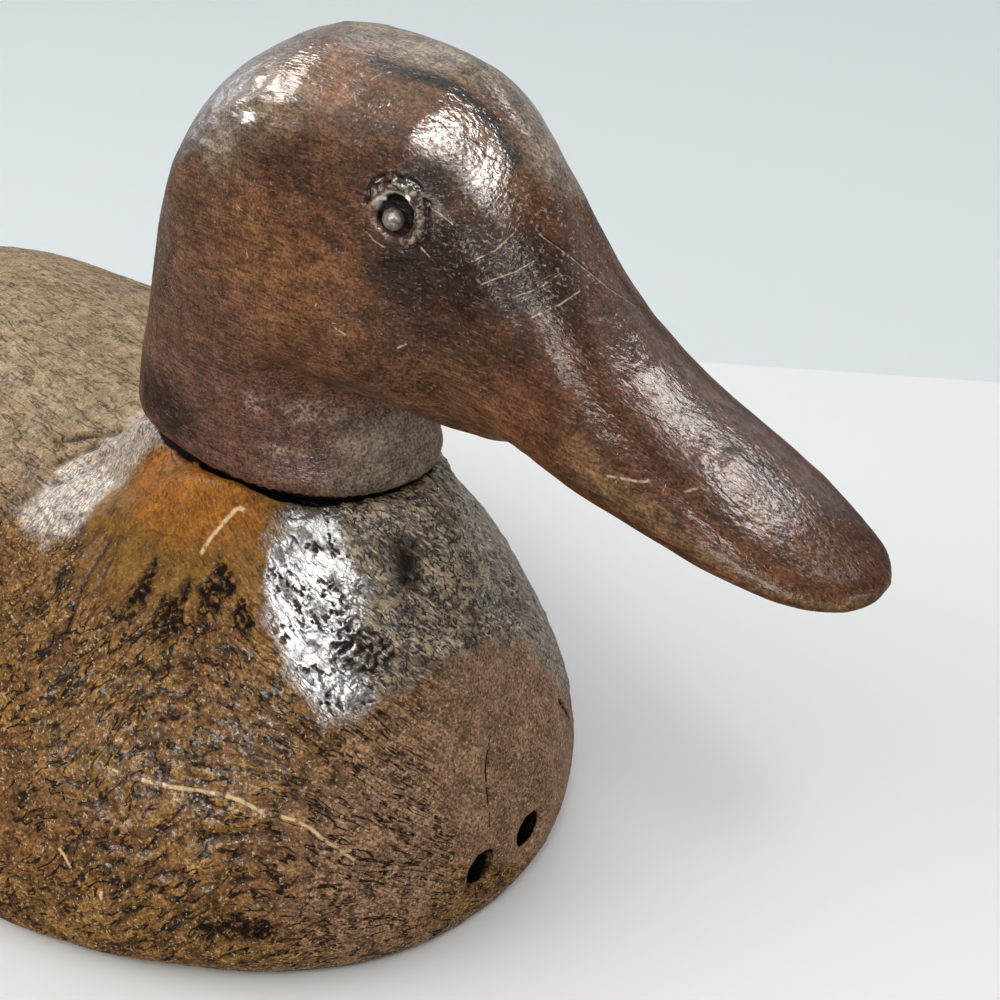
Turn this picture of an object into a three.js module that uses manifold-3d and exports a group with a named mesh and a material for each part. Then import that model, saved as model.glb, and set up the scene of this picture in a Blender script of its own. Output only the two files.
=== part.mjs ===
// A working duck decoy, carved from two blocks of wood: a low, broad body, and
// a head with a long bill that stands on a flat seat on top of the breast.
// A small domed iron tack in a drilled socket makes each eye. Two holes for an
// anchor line are bored into the foot of the breast, and meet inside.
//
// Millimetres. +X is forward, towards the bill, +Y is the bird's left, +Z is up.
// The origin is on the flat underside, below the middle of the overall length.

import * as THREE from "three";
import { mergeVertices } from "three/addons/utils/BufferGeometryUtils.js";
import Module from "manifold-3d";

// The neck stands this far ahead of the origin, on a flat oval seat.
const NECK_X = 62;
const SEAT_Z = 95;
const SEAT_HALF_LENGTH = 41;
const SEAT_HALF_WIDTH = 22;
const SEAT_SLOPE = 0.8;
const SEAT_CURVE = 0.2;
const SEAT_FILLET = 7;
const JOINT_GAP = 0.3;

// The body. Places along it count from the middle of the neck.
const TAIL_END = -262;
const BREAST_END = 58.8;
const BODY_STATIONS = 56;
const BODY_AROUND = 48;
const LOWER_FULLNESS = 2.35;
// A shallow hollow behind each side of the neck, from start to end.
const HOLLOW_START = [-34, 24];
const HOLLOW_END = [-84, 46];
const HOLLOW_REACH = 9;
const HOLLOW_DEPTH = 2;

// The head.
const HEAD_STEPS = 50;
const HEAD_AROUND = 36;
const OVAL_FULLNESS = 2.3;
const EDGE_SHARPNESS = 12;

// The sockets of the eyes, and the tacks that sit at the bottom of them.
const EYE_X = 55.2;
const EYE_HEIGHT = 61.5;
const EYE_TOE_IN = 20;
const SOCKET_RADIUS = 3.4;
const SOCKET_DEPTH = 2.2;
const TACK_RADIUS = 1.8;
const TACK_EDGE = 0.5;
const TACK_DOME = 1.3;
// Each tack sits low and a little back in its socket.
const TACK_DROP = 1.15;
const TACK_BACK = 0.8;

// The anchor-line holes: mouths on the breast, and the place where they meet.
const HOLE_RADIUS = 2.4;
const HOLE_WEAR = 1.45;
const HOLE_MOUTHS = [
  [58, 2.7, 17],
  [56, 17.4, 18],
];
const HOLE_MEETING = [36, 10, 17];

const wasm = await Module();
wasm.setup();

function lerp(a, b, t) {
  return a + (b - a) * t;
}

// Slope at knot k that keeps the curve between its neighbours.
function knotSlope(knots, k) {
  const last = knots.length - 1;
  const rise = (i) => (knots[i + 1][1] - knots[i][1]) / (knots[i + 1][0] - knots[i][0]);
  if (k === 0) return rise(0);
  if (k === last) return rise(last - 1);
  const before = rise(k - 1);
  const after = rise(k);
  if (before * after <= 0) return 0;
  return (2 * before * after) / (before + after);
}

// A smooth value through [place, value] knots, level beyond both ends.
function through(knots, place) {
  const last = knots.length - 1;
  if (place <= knots[0][0]) return knots[0][1];
  if (place >= knots[last][0]) return knots[last][1];
  let i = 0;
  while (place > knots[i + 1][0]) i += 1;
  const span = knots[i + 1][0] - knots[i][0];
  const t = (place - knots[i][0]) / span;
  const start = (1 + 2 * t) * (1 - t) ** 2 * knots[i][1];
  const leave = t * (1 - t) ** 2 * span * knotSlope(knots, i);
  const end = t * t * (3 - 2 * t) * knots[i + 1][1];
  const arrive = t * t * (t - 1) * span * knotSlope(knots, i + 1);
  return start + leave + end + arrive;
}

// Closes a run of equal rings into one skin, with a fan at each end.
function skin(rings) {
  const around = rings[0].length;
  const positions = [];
  const index = [];
  for (const ring of rings) {
    for (const p of ring) positions.push(p.x, p.y, p.z);
  }
  for (let r = 0; r + 1 < rings.length; r += 1) {
    for (let k = 0; k < around; k += 1) {
      const a = r * around + k;
      const b = r * around + ((k + 1) % around);
      index.push(a, b, a + around, b, b + around, a + around);
    }
  }
  for (const r of [0, rings.length - 1]) {
    const middle = new THREE.Vector3();
    for (const p of rings[r]) middle.addScaledVector(p, 1 / around);
    const hub = positions.length / 3;
    positions.push(middle.x, middle.y, middle.z);
    for (let k = 0; k < around; k += 1) {
      const a = r * around + k;
      const b = r * around + ((k + 1) % around);
      if (r === 0) index.push(b, a, hub);
      else index.push(a, b, hub);
    }
  }
  const geometry = new THREE.BufferGeometry();
  geometry.setAttribute("position", new THREE.Float32BufferAttribute(positions, 3));
  geometry.setIndex(index);
  return geometry;
}

function solidFrom(geometry) {
  const bare = geometry.clone();
  bare.deleteAttribute("normal");
  bare.deleteAttribute("uv");
  const merged = mergeVertices(bare, 1e-4);
  return new wasm.Manifold(
    new wasm.Mesh({
      numProp: 3,
      vertProperties: merged.attributes.position.array,
      triVerts: new Uint32Array(merged.index.array),
    }),
  );
}

function geometryFrom(solid) {
  const mesh = solid.getMesh();
  const geometry = new THREE.BufferGeometry();
  const positions = new THREE.Float32BufferAttribute(mesh.vertProperties, mesh.numProp);
  geometry.setAttribute("position", positions);
  geometry.setIndex(new THREE.BufferAttribute(mesh.triVerts, 1));
  geometry.computeVertexNormals();
  return geometry;
}

// A signed power: the building block of the rounded-square sections.
function power(value, exponent) {
  return Math.sign(value) * Math.abs(value) ** exponent;
}

// Half width of the body at its widest level, from tail to breast.
const halfWidthKnots = [
  [-262, 9], [-258, 15], [-245, 23], [-205, 42.5], [-160, 64.5], [-110, 76.5], [-55, 81.5],
  [-14, 77], [14, 65], [33.9, 51.8], [47.7, 36.6], [55, 24.5], [58.8, 2],
];
// Height of the back along the middle, before the seat is raised on it.
const backKnots = [
  [-262, 46], [-257, 50], [-235, 60], [-200, 77], [-150, 90], [-90, 92], [-45, 90.5],
  [0, 87.5], [29, 79.5], [44, 67.5], [53.3, 50], [58.8, 30],
];
// Height of the belly along the middle; below zero it is cut off flat.
const bellyKnots = [
  [-262, 41], [-257, 37], [-240, 28], [-205, 9], [-175, -1], [-150, -7.4], [38.5, -5.7],
  [47.7, -3.7], [55, 2], [58.8, 19],
];
// Height of the widest level.
const sideKnots = [[-262, 44], [-220, 34], [-150, 12], [0, 8.5], [47.7, 17.5], [58.8, 27.5]];
// Fullness of the section above the widest level: 2 is an ellipse, less is leaner.
const fullnessKnots = [[-262, 2.3], [-150, 2.1], [-80, 2], [-30, 1.88], [20, 1.75], [58.8, 1.76]];

// The carved top flares up to a flat oval for the foot of the neck.
function seatLevel(x, y, z) {
  const ovals = Math.hypot(x / SEAT_HALF_LENGTH, y / SEAT_HALF_WIDTH);
  if (ovals < 1) return SEAT_Z;
  const outside = Math.hypot(x, y) * (1 - 1 / ovals);
  const flare = SEAT_Z - SEAT_SLOPE * outside - SEAT_CURVE * outside ** 2;
  const higher = 0.5 * (z + flare + Math.hypot(z - flare, SEAT_FILLET));
  return Math.min(SEAT_Z, higher);
}

function hollowDepth(x, y) {
  const [startX, startY] = HOLLOW_START;
  const runX = HOLLOW_END[0] - startX;
  const runY = HOLLOW_END[1] - startY;
  const fromX = x - startX;
  const fromY = Math.abs(y) - startY;
  const along = (fromX * runX + fromY * runY) / (runX ** 2 + runY ** 2);
  const t = THREE.MathUtils.clamp(along, 0, 1);
  const away = Math.hypot(fromX - t * runX, fromY - t * runY);
  return HOLLOW_DEPTH * Math.exp(-((away / HOLLOW_REACH) ** 2));
}

function bodyRing(x) {
  const halfWidth = through(halfWidthKnots, x);
  const back = through(backKnots, x);
  const belly = through(bellyKnots, x);
  const side = through(sideKnots, x);
  const ring = [];
  for (let k = 0; k < BODY_AROUND; k += 1) {
    const turn = (2 * Math.PI * k) / BODY_AROUND;
    const upper = k <= BODY_AROUND / 2;
    const fullness = upper ? through(fullnessKnots, x) : LOWER_FULLNESS;
    const y = halfWidth * power(Math.cos(turn), 2 / fullness);
    const rise = power(Math.sin(turn), 2 / fullness);
    const z = side + (upper ? back - side : side - belly) * rise;
    const level = upper ? seatLevel(x, y, z - hollowDepth(x, y) * rise) : z;
    ring.push(new THREE.Vector3(x, y, level));
  }
  return ring;
}

const bodyRings = [];
for (let i = 0; i < BODY_STATIONS; i += 1) {
  const t = 0.5 - 0.5 * Math.cos((Math.PI * i) / (BODY_STATIONS - 1));
  bodyRings.push(bodyRing(lerp(TAIL_END, BREAST_END, t)));
}

// One bore from a mouth on the breast to the place where both bores meet,
// taller than wide where the line has worn it.
function anchorBore(mouth) {
  const start = new THREE.Vector3(...mouth);
  const inward = new THREE.Vector3(...HOLE_MEETING).sub(start);
  const length = inward.length() + 8;
  const bore = new THREE.CylinderGeometry(HOLE_RADIUS, HOLE_RADIUS, length, 24);
  bore.translate(0, length / 2 - 8, 0);
  bore.rotateZ(Math.PI / 2);
  bore.scale(1, 1, HOLE_WEAR);
  bore.rotateZ(Math.atan2(-inward.y, -inward.x));
  bore.translate(start.x, start.y, start.z);
  return solidFrom(bore);
}

const belowFloor = new THREE.BoxGeometry(600, 300, 40).translate(0, 0, -20);
let bodySolid = solidFrom(skin(bodyRings)).subtract(solidFrom(belowFloor));
for (const mouth of HOLE_MOUTHS) bodySolid = bodySolid.subtract(anchorBore(mouth));

// Sections of the head, from the neck up over the crown and out along the bill:
// outer x and z, inner x and z, half width, and how far the oval is cut to an octagon.
const headSections = [
  [-39.3, 3, 36, 3, 24, 0],
  [-38.2, 10, 35, 10, 23.4, 0.15],
  [-32.2, 25.4, 34, 17.5, 23.4, 0.45],
  [-24.2, 46, 35.4, 21, 24.2, 0.75],
  [-12, 65.8, 38, 21.4, 24.8, 0.95],
  [6, 78.2, 42, 21.2, 24, 1],
  [27.6, 84.5, 47, 20.8, 22.2, 1],
  [51.4, 83.8, 54, 19.5, 17.6, 1],
  [68, 74, 61, 20.2, 13.9, 0.9],
  [82, 57.6, 73.2, 23.8, 13.6, 0.65],
  [97.7, 44.8, 93.8, 24, 15.2, 0.35],
  [117.3, 37, 114.9, 23.8, 14.5, 0.2],
  [131.3, 30.6, 129.1, 24, 11.2, 0.1],
  [135.6, 28.9, 134.6, 24.4, 7.6, 0],
  [137.4, 27.8, 137, 25, 4.6, 0],
  [138, 27, 138, 25.8, 1.4, 0],
];
// Half width of the flat strip along the crown, and where the side planes begin.
const crownKnots = [[3, 7.6], [5, 7.5], [6, 6], [7, 3.6], [8, 2.2], [9, 2], [12, 4]];
const sidePlaneKnots = [[3, 0.46], [6, 0.6], [9, 0.5], [12, 0.42]];
// The rim of the neck is rounded over: height above the joint, and inset.
const neckRim = [[0, 2.4], [0.4, 1.3], [1.2, 0.5]];

// Distance from the middle to an octagon with a crown flat and side planes,
// all at distance 1, with its edges a little softened.
function octagonReach(turn, crown, sidePlane) {
  const up = Math.abs(Math.sin(turn));
  const out = Math.abs(Math.cos(turn));
  const rise = (1 - crown) / (1 - crown * sidePlane);
  const facet = (1 - sidePlane * rise) * out + rise * up;
  const sum = up ** EDGE_SHARPNESS + out ** EDGE_SHARPNESS + facet ** EDGE_SHARPNESS;
  return sum ** (-1 / EDGE_SHARPNESS);
}

function ovalReach(turn) {
  const up = Math.abs(Math.sin(turn)) ** OVAL_FULLNESS;
  const out = Math.abs(Math.cos(turn)) ** OVAL_FULLNESS;
  return (up + out) ** (-1 / OVAL_FULLNESS);
}

function headRing(outerX, outerZ, innerX, innerZ, halfWidth, cut, place) {
  const crown = Math.min(through(crownKnots, place) / Math.max(halfWidth, 3), 0.6);
  const sidePlane = through(sidePlaneKnots, place);
  const ring = [];
  for (let k = 0; k < HEAD_AROUND; k += 1) {
    const turn = (2 * Math.PI * k) / HEAD_AROUND;
    const reach = lerp(ovalReach(turn), octagonReach(turn, crown, sidePlane), cut);
    const across = 0.5 + 0.5 * reach * Math.sin(turn);
    ring.push(
      new THREE.Vector3(
        lerp(innerX, outerX, across),
        halfWidth * reach * Math.cos(turn),
        lerp(innerZ, outerZ, across),
      ),
    );
  }
  return ring;
}

const headRings = [];
const [neckBack, , neckFront, , neckHalfWidth] = headSections[0];
for (const [rise, inset] of neckRim) {
  const shape = [neckBack + inset, rise, neckFront - inset, rise, neckHalfWidth - inset];
  headRings.push(headRing(...shape, 0, 0));
}
const sectionKnots = headSections[0].map((_, c) => headSections.map((s, i) => [i, s[c]]));
for (let i = 0; i <= HEAD_STEPS; i += 1) {
  const place = ((headSections.length - 1) * i) / HEAD_STEPS;
  const shape = sectionKnots.map((knots) => through(knots, place));
  headRings.push(headRing(...shape, place));
}
const headSkin = solidFrom(skin(headRings));

// Where a line straight in from the side meets the skin of the head, at the eye.
function eyePlace(side) {
  const needle = new THREE.BoxGeometry(0.2, 60, 0.2).translate(EYE_X, 30, EYE_HEIGHT);
  const chip = headSkin.intersect(solidFrom(needle));
  return new THREE.Vector3(EYE_X, side * chip.boundingBox().max[1], EYE_HEIGHT);
}

// A frame at the eye whose local z points straight out of the wood.
function eyeFrame(side) {
  const toe = THREE.MathUtils.degToRad(EYE_TOE_IN);
  const outward = new THREE.Vector3(Math.sin(toe), side * Math.cos(toe), 0);
  const turn = new THREE.Quaternion();
  turn.setFromUnitVectors(new THREE.Vector3(0, 0, 1), outward);
  return { place: eyePlace(side), turn };
}

function eyeSocket(side) {
  const { place, turn } = eyeFrame(side);
  const drill = new THREE.CylinderGeometry(SOCKET_RADIUS, SOCKET_RADIUS, SOCKET_DEPTH + 4, 24);
  drill.rotateX(Math.PI / 2);
  drill.translate(0, 0, 2 - SOCKET_DEPTH / 2);
  drill.applyQuaternion(turn);
  drill.translate(place.x, place.y, place.z);
  return solidFrom(drill);
}

const headSolid = headSkin.subtract(eyeSocket(-1)).subtract(eyeSocket(1));

// The tack: a flat foot, a short upright edge and a low dome.
const tackProfile = [new THREE.Vector2(0, 0), new THREE.Vector2(TACK_RADIUS, 0)];
for (let i = 0; i <= 5; i += 1) {
  const turn = (Math.PI / 2) * (i / 5);
  const radius = i === 5 ? 0 : TACK_RADIUS * Math.cos(turn);
  tackProfile.push(new THREE.Vector2(radius, TACK_EDGE + TACK_DOME * Math.sin(turn)));
}

const bodyWood = new THREE.MeshStandardMaterial({ color: 0x6b5434, roughness: 0.5 });
const headWood = new THREE.MeshStandardMaterial({ color: 0x4a2c1e, roughness: 0.35 });
const tackIron = new THREE.MeshStandardMaterial({ color: 0x3c3a38, roughness: 0.5, metalness: 1 });

const decoy = new THREE.Group();
decoy.name = "wood_duck_decoy";

const body = new THREE.Mesh(geometryFrom(bodySolid), bodyWood);
body.name = "body";
body.position.set(NECK_X, 0, 0);
decoy.add(body);

const head = new THREE.Mesh(geometryFrom(headSolid), headWood);
head.name = "head";
head.position.set(NECK_X, 0, SEAT_Z + JOINT_GAP);
decoy.add(head);

for (const [name, side] of [["eye_tack_right", -1], ["eye_tack_left", 1]]) {
  const { place, turn } = eyeFrame(side);
  const dome = new THREE.LatheGeometry(tackProfile, 16);
  dome.rotateX(Math.PI / 2);
  const tack = new THREE.Mesh(geometryFrom(solidFrom(dome)), tackIron);
  tack.name = name;
  const floor = new THREE.Vector3(0, 0, JOINT_GAP - SOCKET_DEPTH).applyQuaternion(turn);
  const toe = THREE.MathUtils.degToRad(EYE_TOE_IN);
  const back = new THREE.Vector3(-Math.cos(toe), side * Math.sin(toe), 0);
  floor.addScaledVector(back, TACK_BACK).add(new THREE.Vector3(0, 0, -TACK_DROP));
  tack.position.set(NECK_X, 0, SEAT_Z + JOINT_GAP).add(place).add(floor);
  tack.quaternion.copy(turn);
  decoy.add(tack);
}

export default decoy;
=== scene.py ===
import bmesh
import bpy
import numpy as np
from mathutils import Matrix, Vector, noise


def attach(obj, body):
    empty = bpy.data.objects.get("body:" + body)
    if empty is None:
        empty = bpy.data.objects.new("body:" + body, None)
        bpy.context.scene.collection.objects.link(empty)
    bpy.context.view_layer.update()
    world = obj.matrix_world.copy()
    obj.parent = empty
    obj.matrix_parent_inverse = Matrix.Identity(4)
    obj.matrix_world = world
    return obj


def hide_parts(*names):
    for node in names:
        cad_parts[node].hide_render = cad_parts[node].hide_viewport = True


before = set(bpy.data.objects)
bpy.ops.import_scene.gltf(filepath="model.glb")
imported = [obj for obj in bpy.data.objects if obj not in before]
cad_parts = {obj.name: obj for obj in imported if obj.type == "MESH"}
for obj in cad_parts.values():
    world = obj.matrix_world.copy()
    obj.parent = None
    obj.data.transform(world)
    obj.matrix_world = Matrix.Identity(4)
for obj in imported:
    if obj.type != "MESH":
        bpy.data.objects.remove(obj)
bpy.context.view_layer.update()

# Sizes are in mm, and a position with MM after it is in metres.
MM = 0.001

# ---------------------------------------------------------------------------
# The view and the light: a camera fitted to the outline of the decoy, a pale
# table with a pale sheet laid beyond it, a lamp that casts the short shadow,
# and the windows that the varnish mirrors as its highlights.
# ---------------------------------------------------------------------------
CAMERA_PLACE = Vector((292.29, -152.48, 227.28)) * MM
CAMERA_RIGHT = Vector((0.6634, 0.7478, 0.0247))
CAMERA_UP = Vector((-0.3694, 0.2986, 0.88))
CAMERA_FORWARD = Vector((-0.6507, 0.5929, -0.4744))


def linear(hex_value):
    """An sRGB hex value as the linear colour that Blender reckons in."""
    parts = [int(hex_value[i:i + 2], 16) / 255 for i in (1, 3, 5)]
    return tuple(c / 12.92 if c <= 0.04045 else ((c + 0.055) / 1.055) ** 2.4
                 for c in parts) + (1.0,)


def add(material, kind, inputs=None, out=0, **settings):
    """Adds a node with its settings and links, and returns its output."""
    nodes = material.node_tree.nodes
    made = nodes.new("ShaderNode" + kind)
    for name, value in settings.items():
        setattr(made, name, value)
    for socket, value in (inputs or {}).items():
        if isinstance(value, bpy.types.NodeSocket):
            material.node_tree.links.new(value, made.inputs[socket])
        else:
            made.inputs[socket].default_value = value
    return made.outputs[out]


def new_material(name, **sockets):
    """A material whose shader has these values on its own sockets."""
    material = bpy.data.materials.new(name)
    material.use_nodes = True
    shader = material.node_tree.nodes["Principled BSDF"]
    for socket, value in sockets.items():
        shader.inputs[socket.replace("_", " ")].default_value = value
    return material, shader


camera_data = bpy.data.cameras.new("camera")
camera_data.sensor_width, camera_data.lens = 36, 54
camera_data.clip_start = 0.01
camera = bpy.data.objects.new("camera", camera_data)
axes = Matrix((CAMERA_RIGHT, CAMERA_UP, -CAMERA_FORWARD)).transposed()
camera.matrix_world = Matrix.LocRotScale(CAMERA_PLACE, axes.to_quaternion(), None)
bpy.context.scene.collection.objects.link(camera)
bpy.context.scene.camera = camera
bpy.context.scene.view_settings.view_transform = "Standard"

# The table meets the sheet beyond it on a line through these two points.
SHEET_EDGE = Vector((-55, 267, 0)) * MM, Vector((2, 318, 0)) * MM


def laid_flat(name, start, end, reach, colour):
    """A flat part of the set, which isn't part of the object."""
    bm = bmesh.new()
    bm.faces.new([bm.verts.new(c) for c in (start, end, end + reach, start + reach)])
    mesh = bpy.data.meshes.new(name)
    bm.to_mesh(mesh)
    bm.free()
    plane = bpy.data.objects.new(name, mesh)
    bpy.context.scene.collection.objects.link(plane)
    material, _ = new_material(name, Base_Color=linear(colour),
                               Roughness=0.8, Specular_IOR_Level=0.0)
    mesh.materials.append(material)


along = (SHEET_EDGE[1] - SHEET_EDGE[0]).normalized()
nearer = Vector((along.y, -along.x, 0))
left, right = SHEET_EDGE[0] - along * 4, SHEET_EDGE[0] + along * 4
TABLE_REACH, SHEET_REACH = 5, 4
laid_flat("table", left, right, nearer * TABLE_REACH, "#f3f3f2")
laid_flat("sheet", right, left, -nearer * SHEET_REACH, "#e4e9ea")


def lamp(name, azimuth, elevation, distance, width, height, radiance, colour, aim,
         mirrored_only=True):
    """A soft light that far off in metres, turned towards a point in mm."""
    a, e = np.radians((azimuth, elevation))
    data = bpy.data.lights.new(name, "AREA")
    data.shape = "RECTANGLE"
    data.size, data.size_y = width, height
    data.energy = radiance * np.pi * width * height
    data.color = linear(colour)[:3]
    light = bpy.data.objects.new(name, data)
    way = Vector((np.cos(e) * np.cos(a), np.cos(e) * np.sin(a), np.sin(e)))
    light.location = Vector(aim) * MM + way * distance
    light.rotation_euler = way.to_track_quat("Z", "Y").to_euler()
    light.visible_diffuse = not mirrored_only
    light.visible_glossy = mirrored_only
    bpy.context.scene.collection.objects.link(light)


# Two lamps light the wood, and the varnish mirrors the others, one for each
# highlight in the photo.
lamp("shadow_lamp", -45, 50, 1.1, 0.13, 0.13, 32, "#fffaf2", (130, 0, 100), False)
lamp("fill_window", -115, 36, 1.2, 0.80, 0.60, 3.2, "#fffaf2", (60, 0, 60), False)
lamp("brow_window", -78, 54, 1.1, 0.32, 0.30, 66, "#fffdfa", (115, 0, 165))
lamp("face_window", -64, 40, 1.1, 0.34, 0.30, 18, "#fffaf4", (130, 0, 155))
lamp("breast_window", -72, 10, 1.0, 0.90, 0.36, 54, "#ffffff", (95, -20, 75))
lamp("front_window", 15, 16, 1.1, 0.90, 0.45, 16, "#fff4e8", (110, 0, 60))
lamp("bill_window", 90, 60, 1.1, 0.24, 0.50, 15, "#fff4ee", (160, 0, 135))
lamp("shoulder_window", -166, 34, 1.2, 0.50, 0.40, 30, "#fffaf4", (40, -20, 90))
lamp("back_window", 177, 14, 1.2, 0.50, 0.40, 1.8, "#f8faff", (70, -20, 150))
lamp("crown_window", 142, 48, 1.2, 0.75, 0.70, 2.2, "#f8faff", (100, 0, 170))

# The room: softly lit from the sides, brighter overhead.
world = bpy.data.worlds.new("bright_room")
world.use_nodes = True
overhead = add(world, "SeparateXYZ", {0: add(world, "TexCoord")}, 2)
glow = add(world, "MapRange", {0: overhead, 1: 0.0, 2: 1.0, 3: 0.61, 4: 0.96})
background = world.node_tree.nodes["Background"]
background.inputs["Color"].default_value = linear("#f4f7fa")
world.node_tree.links.new(glow, background.inputs["Strength"])
bpy.context.scene.world = world

# ---------------------------------------------------------------------------
# The body: one block of softwood, chopped and rasped to a low rounded shape
# and stained brown. Weather has eaten the soft grain into ridges and pits,
# and the old varnish has crawled and crazed on the breast.
# ---------------------------------------------------------------------------
BODY_VOXEL = 1.6
BODY_TRIANGLES = 192000
# The oval seat of the head: how far forward its middle is, its half length and
# its half width.
SEAT_MIDDLE, SEAT_LONG, SEAT_WIDE = 62, 41, 22
# The mouths of the two anchor-line holes.
HOLES = ((120, 2.7, 17), (118, 17.4, 18))
# The upright line that the map of the breast turns about, and its radius.
MAP_MIDDLE, MAP_RADIUS = 30, 90


def even_copy(node, name, voxel):
    """A copy of a CAD node with its doubles merged, as an even net of faces."""
    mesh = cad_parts[node].data.copy()
    bm = bmesh.new()
    bm.from_mesh(mesh)
    bmesh.ops.remove_doubles(bm, verts=bm.verts, dist=1e-6)
    bm.to_mesh(mesh)
    bm.free()
    piece = bpy.data.objects.new(name, mesh)
    bpy.context.scene.collection.objects.link(piece)
    remesh = piece.modifiers.new("even", "REMESH")
    remesh.mode = "VOXEL"
    remesh.voxel_size = voxel * MM
    bpy.context.view_layer.update()
    graph = bpy.context.evaluated_depsgraph_get()
    mesh = bpy.data.meshes.new_from_object(piece.evaluated_get(graph))
    piece.modifiers.clear()
    piece.data = mesh
    mesh.materials.clear()
    return piece


def refine(piece, wanted):
    """Halves the faces for which wanted(middles, normals), in mm, is true."""
    bm = bmesh.new()
    bm.from_mesh(piece.data)
    middles = np.array([f.calc_center_median() for f in bm.faces]) / MM
    normals = np.array([f.normal for f in bm.faces])
    bm.faces.ensure_lookup_table()
    edges = {e for i in np.flatnonzero(wanted(middles, normals))
             for e in bm.faces[i].edges}
    edges = sorted(edges, key=lambda e: e.index)
    bmesh.ops.subdivide_edges(bm, edges=edges, cuts=1, use_grid_fill=True)
    bm.to_mesh(piece.data)
    bm.free()


def points_of(mesh):
    """The points of a mesh, in mm."""
    co = np.empty(len(mesh.vertices) * 3)
    mesh.vertices.foreach_get("co", co)
    return co.reshape(-1, 3) / MM


def normals_of(mesh, points):
    """Moves a mesh to these points and says which way its skin faces there."""
    mesh.vertices.foreach_set("co", (points * MM).ravel())
    mesh.update()
    out = np.empty(len(points) * 3)
    mesh.vertex_normals.foreach_get("vector", out)
    return out.reshape(-1, 3)


def sand(mesh, give_at, rounds):
    """Evens out the facets without shrinking, as far as give_at(points) lets it."""
    points = points_of(mesh)
    give = give_at(points)
    edges = np.empty(len(mesh.edges) * 2, int)
    mesh.edges.foreach_get("vertices", edges)
    a, b = edges.reshape(-1, 2).T
    n = len(points)
    count = np.bincount(a, minlength=n) + np.bincount(b, minlength=n)
    for _ in range(rounds):
        for step in (0.5, -0.52):
            mean = np.stack([np.bincount(a, points[b, k], n)
                             + np.bincount(b, points[a, k], n)
                             for k in range(3)], 1) / count[:, None]
            points += step * give[:, None] * (mean - points)
    mesh.vertices.foreach_set("co", (points * MM).ravel())
    mesh.update()


def lumps(points, size, seed):
    """A smooth random height for each point, from lumps about size mm across."""
    shifted = points / np.array(size, float) + seed * 7.31
    return np.array([noise.noise(p) for p in shifted.tolist()])


def fade(value, start, end):
    """0 at start, 1 at end, and smooth between them."""
    t = np.clip((value - start) / (end - start), 0, 1)
    return t * t * (3 - 2 * t)


def along_line(points, line):
    """How far each point is from a line of points, and along it (0 to 1)."""
    line = np.array(line, float)
    steps = np.linalg.norm(np.diff(line, axis=0), axis=1)
    total = steps.sum()
    best = np.full(len(points), 1e9)
    place = np.zeros(len(points))
    done = 0.0
    for start, end, step in zip(line[:-1], line[1:], steps):
        t = np.clip((points - start) @ (end - start) / step ** 2, 0, 1)
        far = np.linalg.norm(points - start - t[:, None] * (end - start), axis=1)
        nearer = far < best
        best = np.where(nearer, far, best)
        place = np.where(nearer, (done + t * step) / total, place)
        done += step
    return best, place


def patch(flat_points, outline, soft):
    """1 inside an outline drawn on the skin, and fading over soft mm at it."""
    outline = np.array(outline, float)
    inside = np.zeros(len(flat_points), bool)
    for (u0, v0), (u1, v1) in zip(outline, np.roll(outline, -1, 0)):
        u, v = flat_points.T
        if v0 != v1:
            inside ^= ((v0 > v) != (v1 > v)) & (u < (u1 - u0) * (v - v0) / (v1 - v0) + u0)
    far, _ = along_line(flat_points, np.vstack([outline, outline[:1]]))
    return fade(np.where(inside, far, -far), -soft, soft)


def spots(points, list_of_spots, edge=0.35, seed=0):
    """1 inside any of the (centre, radius) spots, with an uneven soft edge."""
    out = np.zeros(len(points))
    ragged = 0.18 * lumps(points, 7, seed) + 0.1 * lumps(points, 2.5, seed + 1)
    for centre, radius in list_of_spots:
        far = np.linalg.norm((points - centre) / radius, axis=1) + ragged
        out = np.maximum(out, 1 - fade(far, 1 - edge, 1 + edge))
    return out


def store(mesh, name, values):
    """Keeps a value or three for each point, under a name for the material."""
    kind = "FLOAT_VECTOR" if values.ndim == 2 else "FLOAT"
    field = "vector" if values.ndim == 2 else "value"
    layer = mesh.attributes.new(name, kind, "POINT")
    layer.data.foreach_set(field, values.astype(np.float32).ravel())


def mark_lines(mesh, points, normals, name, lines):
    """Keeps, for each point, its place beside the nearest of some fine lines:
    across in half widths, along from 0 to 1, and how near the line is."""
    across = np.full(len(points), 50.0)
    along = np.full(len(points), -1.0)
    near = np.zeros(len(points))
    for half_width, *line in lines:
        line = np.array(line, float)
        low, high = line.min(0) - 6, line.max(0) + 6
        i = np.flatnonzero(((points > low) & (points < high)).all(1))
        best = np.full(len(i), 1e9)
        here = points[i]
        total = np.linalg.norm(np.diff(line, axis=0), axis=1).sum()
        done = 0.0
        for k, (start, end) in enumerate(zip(line[:-1], line[1:])):
            step = np.linalg.norm(end - start)
            way = (end - start) / step
            t = (here - start) @ way
            low_t = -1e9 if k == 0 else 0
            high_t = 1e9 if k == len(line) - 2 else step
            t_in = np.clip(t, low_t, high_t)
            off = here - start - t_in[:, None] * way
            side = np.einsum("ij,ij->i", off, np.cross(normals[i], way))
            capped = here - start - np.clip(t, 0, step)[:, None] * way
            far = np.linalg.norm(capped, axis=1)
            closer = (far < best) & (far < 5)
            best = np.where(closer, far, best)
            weight = fade(-far, -5, -3)
            better = closer & (weight >= near[i] - 1e-6)
            j = i[better]
            across[j] = side[better] / half_width
            along[j] = (done + t[better]) / total
            near[j] = weight[better]
            done += step
    store(mesh, name, np.stack([across, along, near], 1))


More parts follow.
